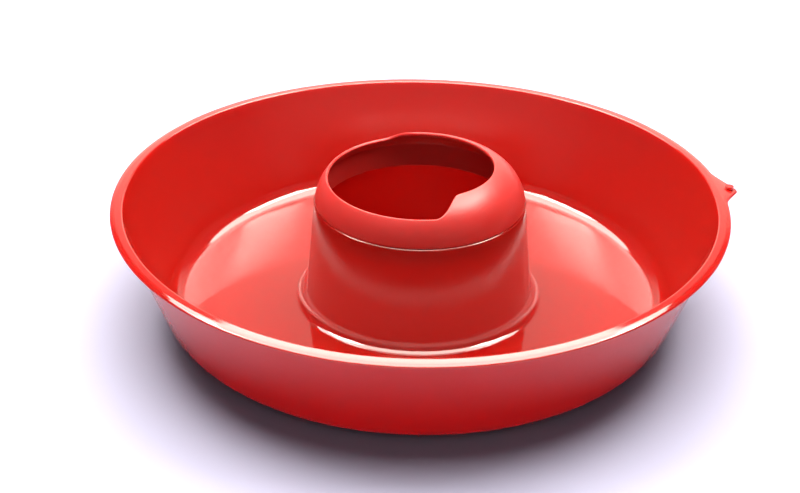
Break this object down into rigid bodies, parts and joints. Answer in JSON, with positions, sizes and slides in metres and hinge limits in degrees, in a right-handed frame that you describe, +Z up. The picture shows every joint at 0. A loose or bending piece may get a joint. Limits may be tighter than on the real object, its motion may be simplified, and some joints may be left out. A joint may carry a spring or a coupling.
{
  "type": "egg cooker",
  "caption": "Round plastic dish with a flat rim, a hanging tab and a hollow tower in the middle, open at the top and topped by a loose collar with a stepped lip.",
  "frame": {"origin": "on the dish's axis, at the surface that the dish stands on", "axes": "+Z up along the dish's axis; the hanging tab points along the diagonal between +X and +Y"},
  "size_m": [0.28, 0.28, 0.0685],
  "materials": {
    "dish_plastic": "polished red moulding",
    "collar_plastic": "satin red moulding"
  },
  "bodies": {
    "dish": {"dish": "dish_plastic"},
    "collar": {"tower_collar": "collar_plastic"}
  },
  "joints": [
    {"name": "collar_lift", "type": "slide", "parent": "dish", "child": "collar", "axis": [0, 0, 1], "range_m": [0, 0.06]}
  ]
}
